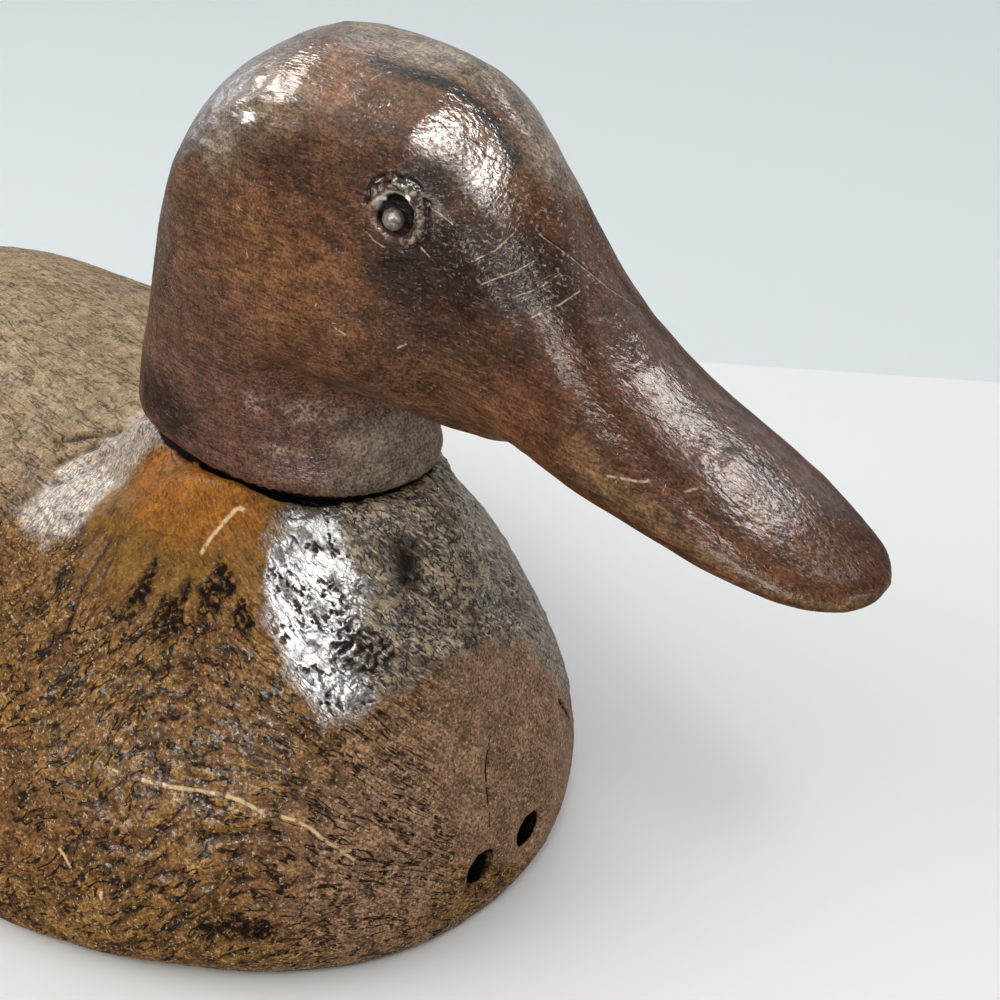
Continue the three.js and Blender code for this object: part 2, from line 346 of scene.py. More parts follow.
# How far the foot of the head reaches from its middle, turning from the front.
FOOT_TURN = (0, 20, 40, 60, 80, 100, 120, 140, 160, 180)
FOOT_REACH = (35.5, 35.0, 30.0, 25.3, 23.4, 22.6, 25.3, 31.0, 36.6, 37.2)


def near_holes(points):
    """1 at the holes and 0 away from them."""
    return np.max([1 - fade(np.linalg.norm((points - hole) * (0.6, 1, 1), axis=1), 3.6, 5.5)
                   for hole in HOLES], axis=0)


def body_give(points):
    """Little at the edge of the underside, the mouths of the holes and the seat."""
    x, y, z = points.T
    from_seat = np.hypot((x - SEAT_MIDDLE) / SEAT_LONG, y / SEAT_WIDE)
    seat = (1 - fade(from_seat, 0.98, 1.12)) * fade(z, 92, 94)
    return ((0.4 + 0.6 * fade(z, 0.2, 1.6)) * (1 - 0.9 * near_holes(points))
            * (1 - 0.8 * seat))


# The frame of the photograph and a little more, as slopes from the camera.
FRAME_LEFT, FRAME_RIGHT, FRAME_FOOT = -0.31, 0.34, -0.36


def facing_view(middles, normals):
    """The part that the photograph shows, where fine relief is worth having."""
    ray = middles - np.array(CAMERA_PLACE) / MM
    depth = ray @ np.array(CAMERA_FORWARD)
    across = ray @ np.array(CAMERA_RIGHT) / depth
    up = ray @ np.array(CAMERA_UP) / depth
    behind_head = patch(np.stack([across, up], 1), [
        (-0.22, 0.1), (-0.2, 0.25), (0, 0.27), (0.2, 0.08), (0.0, 0.05),
        (-0.04, 0.03), (-0.06, 0.02), (-0.14, 0.01), (-0.21, 0.03)], 0.002) > 0.5
    return ((across > FRAME_LEFT) & (across < FRAME_RIGHT) & (up > FRAME_FOOT)
            & ~behind_head & ((normals * ray).sum(1) < 0.02 * depth)
            & (middles[:, 2] > 0.4))


def round_breast(points):
    """How far round the breast, from the near side (negative) over the middle (0)."""
    return MAP_RADIUS * np.arctan2(points[:, 1], points[:, 0] - MAP_MIDDLE)


def on_breast(middles, normals):
    """The crazed part of the breast, whose relief is the finest."""
    around, z = round_breast(middles), middles[:, 2]
    return ((around > -42) & (around < 16) & (z > 52) & (z < 96)
            & (normals[:, 2] < 0.97) & facing_view(middles, normals))


def thin_out(piece, spare, most):
    """Merges small faces where spare(points, normals) until that many are left."""
    mesh = piece.data
    points = points_of(mesh)
    group = piece.vertex_groups.new(name="spare")
    group.add(np.flatnonzero(spare(points, normals_of(mesh, points))).tolist(), 1, "ADD")
    thin = piece.modifiers.new("thin", "DECIMATE")
    thin.vertex_group = "spare"
    thin.ratio = most / sum(len(face.vertices) - 2 for face in mesh.polygons)
    bpy.context.view_layer.update()
    graph = bpy.context.evaluated_depsgraph_get()
    piece.data = bpy.data.meshes.new_from_object(piece.evaluated_get(graph))
    piece.modifiers.clear()
    piece.vertex_groups.clear()


body = even_copy("body", "body_carved", BODY_VOXEL)
mesh = body.data
sand(mesh, body_give, 22)
refine(body, facing_view)
sand(mesh, body_give, 10)
refine(body, on_breast)
sand(mesh, body_give, 8)
at = points_of(mesh)
facing = normals_of(mesh, at)
x, y, z = at.T

# A map of the skin: how far round the breast, and how high.
around = round_breast(at)
from_axis = np.hypot(x - MAP_MIDDLE, y)
skin = np.stack([around, z], 1)
uneven = np.stack([1.6 * lumps(at, 4, 71) + 0.8 * lumps(at, 1.6, 72),
                   1.6 * lumps(at, 4, 73) + 0.8 * lumps(at, 1.6, 74)], 1)
ragged = skin + uneven

# The ridges of the grain climb towards the breast and drop over it.
SLOPE_AT = np.array([-300, -150, -100, -78, -52, -25, 0, 40, 90, 150, 300.0])
SLOPE = np.array([0, 0, -0.4, -0.5, 0, 1.0, 1.9, 1.9, 0.6, 0, 0])
steps = np.linspace(-300, 300, 601)
rise = np.cumsum(np.interp(steps, SLOPE_AT, SLOPE))
shift = np.clip((55 - z) * 0.5, -15, 25)
warp = 2.4 * lumps(at, 15, 1) + 0.9 * lumps(at, 5, 2)
grain = z + np.interp(around - shift, steps, rise) + warp
way = np.stack([grain, around, from_axis], 1)
swirl = fade(x, 18, 52)
# The crazed varnish runs down and round, at half a right angle.
HALF_TURNED = 0.707
lean = np.stack([(around - z) * HALF_TURNED,
                 (around + z) * HALF_TURNED + 0.5 * lumps(at, 6, 75), from_axis], 1)

# Where each stain, wear and finish lies on that map, and the painted sheen on the top of the
# back and on the shoulder.
ochre = patch(ragged, [(-124, 84), (-92, 90), (-53, 97), (-34, 97), (-26.9, 97),
                       (-34, 86.8), (-38, 76.6), (-38.5, 70), (-45, 74), (-54, 73),
                       (-68, 70), (-83, 69), (-99, 70), (-112, 77)], 3.5)
orange = patch(ragged, [(-101, 89), (-72, 97), (-33, 97), (-35, 87), (-49, 84),
                        (-68, 81), (-92, 83)], 4)
varnish = patch(ragged, [(-20.5, 97), (-29.3, 94), (-34.6, 86), (-36.8, 80), (-36.3, 75),
                         (-35.2, 70.5), (-33.8, 67), (-31.8, 63), (-27.8, 58.4),
                         (-23.3, 57.6), (-17.4, 60.3), (-12, 62.7), (-6.7, 65.5),
                         (-1, 66.8), (10.9, 65.1), (19, 60.8), (27, 55), (40, 56),
                         (64, 60), (40, 97)], 1.6)
shine = patch(ragged, [(-25.3, 95), (-34.6, 86), (-36.8, 78.7), (-35.4, 70.5),
                       (-31.4, 63.5), (-27.8, 58.4), (-23.3, 57.6), (-18, 60),
                       (-17, 64.4), (-18, 70.5), (-16.6, 76.2),
                       (-14.9, 81.9), (-17, 87), (-17.5, 95)], 1.8)
dull_spot = patch(ragged, [(-24, 72.5), (-19.7, 75.6), (-14, 75), (-12, 70), (-15, 65.5),
                           (-19.2, 65.5), (-23.6, 68.5)], 1.0)
black_patch = patch(ragged, [(-9.4, 90.3), (-5, 90.6), (-3.4, 86.6), (-6.2, 81.8),
                             (-10, 81.2)], 2.6)
red_low = patch(ragged, [(-29, 50), (-20, 58), (-10, 62), (0, 58), (1, 30), (-6, 14),
                         (-17, 8), (-32, 9), (-39, 24), (-36, 38)], 14)
smooth = patch(ragged, [(-8, 58), (-4, 70), (12, 69), (28, 58), (40, 46), (52, 26),
                        (52, 8), (20, 8), (6, 16), (-3, 25), (-8, 39)], 3)
bleached = patch(ragged, [(21, 97), (95, 92), (120, 60), (110, 30), (62, 22),
                          (46, 34), (28.8, 55.8), (25, 69), (14, 89)], 3)
far, _ = along_line(at, [(35.5, -20, 92), (32.3, -25.4, 86.3), (31.8, -31.4, 81.5),
                        (33.4, -38.3, 78)])
shoulder = 1 - fade(far + 3 * lumps(at, 5, 76), 5.5, 10)
eroded = spots(at, [((92, -52, 24), (30, 24, 26)), ((100, -42, 44), (16, 16, 12)),
                   ((84, -44, 56), (14, 14, 10))], seed=17)
base_band = 1 - fade(z, 4.5, 7)
calm = fade(z, 78, 92) * fade(-x, -50, -10)
# The top of the back is painted paler: partly the wood's own paler colour, partly painted
# sheen where the top catches the light.
pale_back_and_sheen = fade(z + 4 * lumps(at, 18, 78), 70, 88) * fade(-x, -46, -24)
side = np.clip(1 - ochre * 0.75 - varnish - smooth - 0.5 * red_low - 0.7 * base_band, 0, 1)

# The relief of the weathered wood, in mm.
ridges = (swirl * (lumps(way, (2.0, 7.5, 6), 3) + 0.6 * lumps(way, (1.3, 4.5, 4), 4))
          + (1 - swirl) * (lumps(at, (14, 2.6, 2.6), 3) + 0.5 * lumps(at, (9, 1.6, 1.6), 4)))
craze = (lumps(lean, (1.9, 0.85, 3), 6) + 0.7 * lumps(lean, (1.1, 0.8, 2), 16)
         + 0.6 * lumps(at, 3.2, 26))
wild = 0.45 + 0.55 * eroded
relief = (0.42 * ridges * side * wild * (1 - 0.3 * calm)
          + 0.22 * lumps(at, 3.2, 5) * side * (1 - 0.6 * calm) * (1 - 0.7 * pale_back_and_sheen)
          + 0.12 * lumps(at, 1.6, 15) * side
          + (0.38 * craze * (1 - 0.85 * shine) + 0.05 * craze) * varnish
          + 0.16 * lumps(lean, (9, 1.2, 4), 28) * np.maximum(red_low, 0.5 * smooth)
          * (1 - varnish)
          + 0.05 * lumps(at, 3, 7))
broad = 0.30 * lumps(at, 26, 8) + 0.18 * lumps(at, 10, 9)

# Deep pits where the soft grain fell out, in patches beside the neck.
PIT_PATCHES = [
    [(-72.1, 77), (-70, 74.6), (-74.5, 70.0), (-79.5, 66.3), (-83.9, 65.6), (-81.8, 69.6)],
    [(-58.5, 76.3), (-57.5, 74.1), (-60.2, 71.7), (-59.2, 68.9), (-64.8, 66.2),
     (-71.9, 66.7), (-67.1, 72.3)],
    [(-47.4, 81.1), (-44.1, 80.6), (-44.9, 75.8), (-50.0, 71.9), (-56.0, 71.0),
     (-54.9, 74.3)],
    [(-43.3, 76.5), (-39.8, 76.1), (-39.2, 72.4), (-43.1, 69.7), (-46.3, 72.0)],
    [(-58, 19), (-50, 22), (-42, 20), (-42, 16), (-50, 15), (-57, 15)],
]
pitted = np.zeros(len(at))
for outline in PIT_PATCHES:
    pitted = np.maximum(pitted, patch(ragged, outline, 0.9))
pits = fade(lumps(at, 1.3, 22), 0.0, 0.3) * pitted
few_pits = (fade(lumps(lean, (1.4, 0.65, 1.6), 23) + 0.3 * lumps(at, 0.5, 27), 0.20, 0.36)
            * varnish * fade(lumps(at, 5, 24), -0.2, 0.2) * (0.3 + 0.7 * shine))
few_pits = np.maximum(few_pits, dull_spot * fade(lumps(at, 1.1, 25), -0.05, 0.2))

# Grooves cut with a gouge behind the neck, the hollow beside them, and cracks:
# half width, depth and the line that each follows.
CUTS = [
    (1.5, 1.0, (26.6, -19.1, 87.4), (20.0, -23.5, 85.3), (13.5, -29.4, 82.9)),
    (1.3, 0.9, (26.7, -22.0, 85.9), (22.7, -27.6, 83.3), (20.0, -32.6, 81.2)),
    (1.3, 1.0, (32.0, -25.2, 86.6), (25.9, -29.4, 82.3)),
    (1.6, 1.0, (31.9, -26.5, 85.1), (27.7, -30.3, 81.9), (25.7, -35.7, 79.8)),
    (3.0, 0.7, (46.2, -34.0, 79.6), (45.9, -38.4, 75.8), (46.5, -43.6, 71.8),
     (46.1, -48.7, 67.3), (44, -55, 60)),
    (1.3, 0.9, (49.2, -35.2, 78.2), (50.4, -39.2, 74.7), (51.5, -43.2, 71.4),
     (53.9, -48.1, 66.2), (56, -52.9, 60.4)),
    (0.9, 0.6, (51.0, -33.3, 79.9), (53.4, -38.2, 74.8), (56.1, -44.2, 69.2)),
    (1.0, 0.6, (62.3, -46.3, 64.8), (60.6, -52.4, 58.9), (59.4, -57.6, 52.1)),
    (1.1, 0.6, (65.6, -49.6, 59.5), (63.2, -54.9, 54.2)),
    (0.8, 0.5, (116.4, 6.9, 46.9), (118.2, 4.4, 40.6), (119.6, 3.9, 34.3),
     (120.4, 3.7, 27.3)),
    (1.0, 1.4, (106.7, 35.1, 37.1), (105.7, 38.1, 32.8), (104.0, 42.0, 26.7)),
]
cut = np.zeros(len(at))
for half_width, depth, *line in CUTS:
    far, place = along_line(at, line)
    ends = fade(place, 0, 0.12) * fade(1 - place, 0, 0.12) + 0.25
    cut = np.maximum(cut, depth * np.minimum(ends, 1)
                     * np.clip(1 - far / half_width, 0, 1))

# The open joint round the foot of the neck: the groove cut for it, and the mask where the
# shade in it is painted nearly black.
turned = np.abs(np.degrees(np.arctan2(y, x - SEAT_MIDDLE)))
off_seam = np.hypot(x - SEAT_MIDDLE, y) - np.interp(turned, FOOT_TURN, FOOT_REACH)
joint = (1 - fade(off_seam + 0.3 * lumps(at, 3, 77), -2.3, -1.6)) * fade(z, 90, 92.5)
cut = np.maximum(cut, 0.7 * joint)

# Nicks along the bottom edge.
nicks = (1 - fade(z, 0, 5)) * fade(lumps(at * (1, 1, 0.3), 7, 31), 0.15, 0.5) * 0.25

on_seat = (off_seam < -3.0) & (z > 92)
# The mouths of the anchor-line holes, worn wider than the bores, and the shade in them,
# painted nearly black a little past the bores.
from_hole = np.min([np.hypot(y - hole[1] + 0.4, (z - hole[2] - 0.6) * 0.85)
                    for hole in HOLES], axis=0)
from_hole = from_hole + 0.5 * lumps(at, 2.5, 86) + 9 * (x < 100)
hole_shade = 1 - fade(from_hole, 3.1, 4.1)
mouth = 1 - fade(from_hole, 2.4, 5.2)
under = 1 - fade(z, 0.2, 1.6)
free = (1 - under * 0.6) * (1 - near_holes(at) * 0.8) * (1 - on_seat)
height = (relief + broad) * free - pits * 0.6 - few_pits * 0.18 - cut - nicks
# The mouths are worn deep, and the seat lies a little under the foot.
height -= 1.3 * mouth
height = np.where(on_seat, -0.5, height)
at = at + facing * height[:, None]
flat = (under > 0.5) & (facing[:, 2] < -0.9)
at[flat, 2] = 0
at[:, 2] = np.maximum(at[:, 2], 0)
facing = normals_of(mesh, at)

for name, values in {
        "hollow": np.clip(0.5 - relief * 1.1 + pits * 0.5 + cut * 0.35, 0, 1),
        "pitted": pitted, "pit": np.clip(pits + few_pits, 0, 1), "swirl": swirl,
        "way": way, "lean": lean, "ochre": ochre, "orange": orange,
        "varnish": varnish, "shine": shine, "black_patch": black_patch,
        "red_low": red_low, "smooth": smooth, "bleached": bleached,
        "shoulder": shoulder, "pale_back_and_sheen": pale_back_and_sheen, "painted_hole_shade": hole_shade,
        "base_band": base_band, "joint": joint}.items():
    store(mesh, name, values)

# Scratches and cracks too fine for the mesh: half width, and the line.
BODY_SCRATCHES = [
    (0.46, (79.4, -22.4, 91.2), (77.7, -22.7, 91.5), (76.7, -23.3, 90.8),
     (74.7, -25.1, 87.5), (72.7, -27.2, 83.5), (71.8, -28.6, 80.8)),
    (0.26, (76.8, -53.9, 45.2), (79.8, -52.4, 45.1)),
    (0.40, (80.7, -52.1, 44.8), (84.3, -50.1, 44.9), (87.2, -48.4, 44.8),
     (92.9, -44.5, 45.1), (96.0, -42.1, 45.2), (99.1, -39.8, 44.5),
     (101.5, -38.1, 43.2), (103.4, -36.6, 42.2)),
    (0.34, (104.7, -35.2, 42.0), (107.0, -32.8, 41.2), (109.4, -30.8, 39.1),
     (111.7, -28.9, 36.4), (115.2, -25.3, 32.3)),
    (0.36, (71.1, -64.3, 27.8), (72.6, -64.0, 26.4), (74.3, -63.6, 24.5)),
    (0.34, (80.8, -60.8, 21.8), (81.0, -61.1, 19.6)),
]
mark_lines(mesh, at, facing, "scratch", BODY_SCRATCHES)
mark_lines(mesh, at, facing, "crack", [
    (0.20, (116.4, 6.9, 46.9), (118.2, 4.4, 40.6), (119.6, 3.9, 34.3), (120.4, 3.7, 27.3)),
    (0.55, (106.7, 35.1, 37.1), (105.7, 38.1, 32.8), (104.0, 42.0, 26.7)),
])


def line_mask(material, name, ragged=0.5):
    """White on the fine lines kept under that name, with broken edges."""
    marks = add(material, "Attribute", attribute_name=name, out=1)
    across, along, near = add(material, "SeparateXYZ", {0: marks}).node.outputs
    place = add(material, "TexCoord", out=3)
    rough_edge = add(material, "TexNoise", {"Vector": place, "Scale": 2200.0,
                                            "Detail": 3.0})
    broken = add(material, "TexNoise", {"Vector": place, "Scale": 520.0,
                                        "Detail": 1.0})
    off = add(material, "Math", {0: across}, operation="ABSOLUTE")
    off = add(material, "Math", {0: rough_edge, 1: -2.4 * ragged, 2: off},
              operation="MULTIPLY_ADD")
    off = add(material, "Math", {0: off, 1: 1.2 * ragged}, operation="ADD")
    body_of_line = add(material, "MapRange", {0: off, 1: 1.3, 2: 0.5})
    start = add(material, "MapRange", {0: along, 1: 0.0, 2: 0.04})
    end = add(material, "MapRange", {0: along, 1: 1.0, 2: 0.96})
    near = add(material, "MapRange", {0: near, 1: 0.3, 2: 0.6})
    gaps = add(material, "MapRange", {0: broken, 1: 0.36, 2: 0.46, 3: 0.15})
    return where(material, body_of_line, start, end, near, gaps)


def where(material, *masks):
    """How far all of these hold: a pattern, a number, or the name of a wear
    that is kept on the piece."""
    product = None
    for mask in masks:
        if isinstance(mask, str):
            mask = add(material, "Attribute", attribute_name=mask, out=2)
        product = mask if product is None else add(
            material, "Math", {0: product, 1: mask}, operation="MULTIPLY")
    return product


def spared(material, share, *masks):
    """1 where the masks don't hold, and less by that share where they do."""
    return add(material, "Math", {0: where(material, *masks), 1: -share, 2: 1.0},
               operation="MULTIPLY_ADD")


def stain(material, under, over, *masks, mode="MIX"):
    """Lays a stain or a pattern over another colour, as far as the masks hold."""
    if isinstance(over, str):
        over = linear(over)
    return add(material, "Mix", {0: where(material, *masks), 6: under, 7: over}, 2,
               data_type="RGBA", blend_type=mode)


def clouds(material, vector, sizes, low=0.38, high=0.62, dark=0.0, light=1.0,
           detail=2.0):
    """A cloudy pattern with lumps of these three sizes in mm."""
    scaled = add(material, "Mapping", {0: vector, 3: [1000 / s for s in sizes]})
    cloudy = add(material, "TexNoise", {"Vector": scaled, "Scale": 1.0,
                                        "Detail": detail, "Roughness": 0.6})
    return add(material, "MapRange", {0: cloudy, 1: low, 2: high, 3: dark, 4: light})


def wandering_cracks(material, vector, sizes, width=0.02):
    """White on thin lines that wander round lumps of these sizes in mm."""
    scaled = add(material, "Mapping", {0: vector, 3: [1000 / s for s in sizes]})
    cloudy = add(material, "TexNoise", {"Vector": scaled, "Scale": 1.0,
                                        "Detail": 2.5, "Roughness": 0.55})
    off = add(material, "Math", {0: cloudy, 1: -0.5}, operation="ADD")
    off = add(material, "Math", {0: off}, operation="ABSOLUTE")
    return add(material, "MapRange", {0: off, 1: width, 2: width * 0.3})


def roughened(material, reliefs, under=None):
    """The direction of a skin with fine reliefs: height, strength, depth in mm."""
    for height, strength, depth in reliefs:
        relief = {"Height": height, "Strength": strength, "Distance": depth * MM}
        if under is not None:
            relief["Normal"] = under
        under = add(material, "Bump", relief)
    return under


def show(material, shader, **looks):
    """Gives the finished looks to the shader."""
    for socket, look in looks.items():
        material.node_tree.links.new(look, shader.inputs[socket.replace("_", " ")])


# Weathered softwood under a worn brown stain. The stain lies dark in the hollows
# of the grain and is rubbed paler on the ridges. What is left of the varnish
# shines on the breast and the shoulder, and the rest is dull to the eye.
body_wood, shader = new_material("weathered_stained_softwood", Specular_IOR_Level=0.02,
                                 Coat_Roughness=0.2, Coat_IOR=1.5)
place = add(body_wood, "TexCoord", out=3)
way_m, lean_m = (add(body_wood, "VectorMath", {
    0: add(body_wood, "Attribute", attribute_name=name, out=1), 1: (MM, MM, MM)},
    operation="MULTIPLY") for name in ("way", "lean"))
swirl = where(body_wood, "swirl")
bare = spared(body_wood, 1.0, "varnish")
rough_wood = where(body_wood, bare, spared(body_wood, 0.75, "smooth"),
                   spared(body_wood, 0.6, "ochre"), spared(body_wood, 0.45, "pale_back_and_sheen"))

colour = stain(body_wood, linear("#6f4b28"), "#7e5a2d",
               clouds(body_wood, place, (20, 20, 20), 0.42, 0.58, detail=3.0))
mottled = clouds(body_wood, place, (9, 9, 9), 0.3, 0.6, 0.6, 1.0)
for over, *masks in (
        ("#80624c", "smooth"), ("#87674f", "red_low"), ("#857668", "bleached"),
        ("#75624f", "base_band", 0.7), ("#a38c6e", "pale_back_and_sheen"), ("#7e5822", "ochre"),
        # the pale shoulder band is partly its own colour and partly painted sheen
        ("#985e1e", "orange"), ("#b09a84", "shoulder", mottled)):
    colour = stain(body_wood, colour, over, *masks)
# Rubbed tops and dirty hollows of the carved relief.
hollow = where(body_wood, "hollow")
colour = stain(body_wood, colour, "#a07c48", bare, spared(body_wood, 1.0, "pale_back_and_sheen"),
               add(body_wood, "MapRange", {0: hollow, 1: 0.45, 2: 0.1, 3: 0.0, 4: 0.55}))
colour = stain(body_wood, colour, "#24150a",
               add(body_wood, "MapRange", {0: hollow, 1: 0.55, 2: 0.9}))
# Stain in blotches, then the fine open grain, weaker where the wood is plain.
blotches = clouds(body_wood, place, (5, 5, 5), 0.36, 0.64, 0.72, 1.28, 3.0)
colour = stain(body_wood, colour, blotches, 0.9, mode="MULTIPLY")
speckle = clouds(body_wood, place, (0.6, 0.6, 0.6), 0.36, 0.64, 0.35, 1.65, 3.0)
plain = add(body_wood, "Math", {0: where(body_wood, "ochre"),
                                1: where(body_wood, "pale_back_and_sheen")}, operation="ADD")
plain = add(body_wood, "Math", {0: plain, 1: -0.5, 2: 0.95}, operation="MULTIPLY_ADD")
colour = stain(body_wood, colour, speckle, plain, mode="MULTIPLY")
grime = clouds(body_wood, place, (2.0, 2.0, 2.0), 0.54, 0.66)
colour = stain(body_wood, colour, "#2b1a0c", rough_wood, grime, 0.7)
fibres = stain(body_wood, clouds(body_wood, place, (6, 0.8, 0.8), 0.4, 0.6, 0.75, 1.25),
               clouds(body_wood, way_m, (0.8, 2.4, 1.6), 0.4, 0.6, 0.75, 1.25), swirl)
colour = stain(body_wood, colour, fibres, rough_wood, 0.85, mode="MULTIPLY")
red_grain = clouds(body_wood, lean_m, (6.0, 0.55, 2.5), 0.40, 0.60, 0.7, 1.25, 3.0)
colour = stain(body_wood, colour, red_grain, "red_low", mode="MULTIPLY")
# Dark cracks round the hard grain, and pale flecks that are painted glints.
cracks = add(body_wood, "Mix", {
    0: swirl, 2: wandering_cracks(body_wood, place, (16, 2.6, 2.6), 0.030),
    3: wandering_cracks(body_wood, way_m, (2.6, 8.0, 6.0), 0.034)})
cracks = where(body_wood, cracks, rough_wood,
               clouds(body_wood, place, (3.5, 3.5, 3.5), 0.38, 0.50))
colour = stain(body_wood, colour, "#1a0e06", cracks)
painted_glint_flecks = clouds(body_wood, place, (0.8, 0.8, 0.8), 0.61, 0.68)
colour = stain(body_wood, colour, "#c0aa84", painted_glint_flecks, spared(body_wood, 0.7, "ochre"), 0.8)
hatching = clouds(body_wood, lean_m, (2.6, 0.45, 1.5), 0.40, 0.60, 0.35, 1.45)
colour = stain(body_wood, colour, hatching, "shoulder", mode="MULTIPLY")
# The crazed varnish: dark cracks between small pale islands, and pale flecks that are
# painted glints.
islands = add(body_wood, "Math", {
    0: clouds(body_wood, lean_m, (3.0, 0.55, 1.4), 0.37, 0.47),
    1: where(body_wood, clouds(body_wood, place, (5, 5, 5), 0.42, 0.56, detail=3.0), 0.8)},
    operation="MAXIMUM")
network = add(body_wood, "Math", {
    0: wandering_cracks(body_wood, lean_m, (5.0, 2.4, 4.0), 0.040),
    1: wandering_cracks(body_wood, lean_m, (3.0, 4.0, 3.0), 0.032)}, operation="MAXIMUM")
crazed = stain(body_wood, linear("#6a533c"), "#ab9475",
               clouds(body_wood, lean_m, (9, 4, 6), 0.42, 0.58, detail=4.0))
crazed = stain(body_wood, linear("#21160d"), crazed, islands)
for over, mask in (
        ("#120b07", network),
        # painted glints on the crazed varnish
        ("#c6b8a4", clouds(body_wood, lean_m, (2.8, 0.6, 1.6), 0.57, 0.69)),
        ("#4a4038", "shine"), ("#140c09", "black_patch")):
    crazed = stain(body_wood, crazed, over, mask)
colour = stain(body_wood, colour, crazed, "varnish")
# Pits, scratches and cracks, and the painted shade, nearly black, in the open joint and the
# mouths of the holes.
pit_dark = add(body_wood, "Math", {
    0: where(body_wood, "pit"),
    1: where(body_wood, clouds(body_wood, place, (1.1, 1.1, 1.1), 0.47, 0.53), "pitted")},
    operation="MAXIMUM")
# Painted shade, nearly black, in the open joint and the mouths of the holes.
opening_shade = add(body_wood, "Math", {0: where(body_wood, "joint"),
                                     1: where(body_wood, "painted_hole_shade")},
                 operation="MAXIMUM")
opening_shade = add(body_wood, "MapRange", {0: opening_shade, 1: 0.3, 2: 0.7})
for over, *masks in (
        ("#180e0a", pit_dark, 0.93), ("#d9b98c", line_mask(body_wood, "scratch")),
        ("#140c08", line_mask(body_wood, "crack", 0.3)), ("#070403", opening_shade)):
    colour = stain(body_wood, colour, over, *masks)

gloss = clouds(body_wood, place, (3, 3, 3), 0.35, 0.65, 0.42, 0.58)
for mask, amount in (("varnish", -0.2), (pit_dark, 0.4)):
    gloss = add(body_wood, "Math", {0: where(body_wood, mask), 1: amount, 2: gloss},
                operation="MULTIPLY_ADD")
# How much varnish is left, on the skin and in the worn wood between.
coat = where(body_wood, rough_wood,
             clouds(body_wood, place, (1.1, 1.1, 1.1), 0.5, 0.62, 0.01, 0.09))
for amount, *masks in ((0.42, "varnish"), (0.68, "shine"), (0.80, "shoulder", hatching),
                       (0.12, "bleached"), (0.03, "ochre")):
    coat = add(body_wood, "Math", {0: where(body_wood, *masks), 1: amount, 2: coat},
               operation="MULTIPLY_ADD")
broken = clouds(body_wood, place, (5, 4, 5), 0.40, 0.50, 0.2, 1.0, 3.0)
coat = add(body_wood, "Mix", {0: where(body_wood, "shine"), 2: coat,
                              3: where(body_wood, coat, broken)})
coat = where(body_wood, coat, spared(body_wood, 1.0, pit_dark),
             spared(body_wood, 1.0, opening_shade), spared(body_wood, 0.9, "black_patch"))

hatched = add(body_wood, "Math", {0: where(body_wood, "shoulder"), 1: 0.2,
                                  2: where(body_wood, "varnish")},
              operation="MULTIPLY_ADD")
craze_height = where(body_wood, clouds(body_wood, lean_m, (1.4, 0.45, 1.2), 0.3, 0.7),
                     hatched, spared(body_wood, 0.85, "shine"))
pebble = clouds(body_wood, place, (0.8, 0.8, 0.8), 0.3, 0.7)
film = roughened(body_wood, ((craze_height, 0.9, 0.5), (pebble, 0.35, 0.1),
                             (pit_dark, 0.8, -0.3)))
grain_skin = roughened(body_wood, ((where(body_wood, fibres, rough_wood), 0.4, 0.3),
                                   (speckle, 0.5, 0.18), (cracks, 0.9, -0.4)), film)
show(body_wood, shader, Base_Color=colour, Roughness=gloss, Coat_Weight=coat,
     Coat_Normal=film, Normal=grain_skin)

mesh.materials.append(body_wood)
mesh.shade_smooth()
thin_out(body, lambda points, normals: ~facing_view(points, normals), BODY_TRIANGLES)
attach(body, "root")
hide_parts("body")

# ---------------------------------------------------------------------------
# The head: a second block of closer wood, whittled in broad flats that wear
# has rounded, stained red-brown and varnished. It stands on the seat of the
# body with an open joint round its foot, whose shade is painted nearly black.
# ---------------------------------------------------------------------------
HEAD_VOXEL = 0.85
# The near eye, and the way that points forward along the cheek there.
EYE = np.array((117.2, -16.66, 156.8))
EYE_FORWARD = np.array((0.940, 0.342, 0.0))


def eye_map(points):
    """On either side, how far a point lies in front of the eye, above it, and
    away from it in all."""
    off = points * (1, 0, 1) - np.abs(points) * (0, 1, 0) - EYE
    return off @ EYE_FORWARD, off[:, 2], np.linalg.norm(off, axis=1)


def head_give(points):
    """Not the rims of the sockets, nor the foot."""
    return fade(eye_map(points)[2], 3.9, 5.0) * fade(points[:, 2], 95.4, 98)


head = even_copy("head", "head_carved", HEAD_VOXEL)
mesh = head.data
sand(mesh, head_give, 45)
for reach in (9.5, 8.0):
    refine(head, lambda middles, normals: eye_map(middles)[2] < reach)
    sand(mesh, head_give, 8)
at = points_of(mesh)
facing = normals_of(mesh, at)
x, y, z = at.T

# Round each eye a gouged groove with a worn rim inside it, open in front.
ahead, above, to_eye = eye_map(at)
about = np.hypot(ahead - 0.5, above - 0.3)
wobble = 0.8 * lumps(at, 2.2, 55) + 0.35 * lumps(at, 0.9, 56)
upper = np.maximum(fade(above, -1.5, 1.5), 0.8 * fade(ahead, 1, 4))
rim = (np.exp(-((about + wobble - 4.4) / 0.6) ** 2) * (0.12 + 0.88 * upper) * (to_eye < 9)
       * fade(lumps(at, 1.0, 58), -0.35, 0.05))
groove = (np.exp(-((about + 0.7 * wobble - 5.7) / 0.4) ** 2) * (0.15 + 0.85 * upper)
          * (to_eye < 9) * fade(lumps(at, 2.4, 59), -0.4, 0.0))
folds = spots(at, [((78, -20, 166), (15, 9, 13))], edge=0.5, seed=80) * (
    lumps(at, (4.5, 3, 2.0), 81) + 0.5 * lumps(at, (2.2, 1.5, 1.2), 82))
wrinkles = spots(at, [((112, -11, 172), (10, 5, 6)), ((150, -4, 144), (26, 6, 9)),
                     ((180, -3, 132), (16, 6, 6))], edge=0.5, seed=83) * (
    lumps(at, (1.6, 2.2, 1.6), 84))
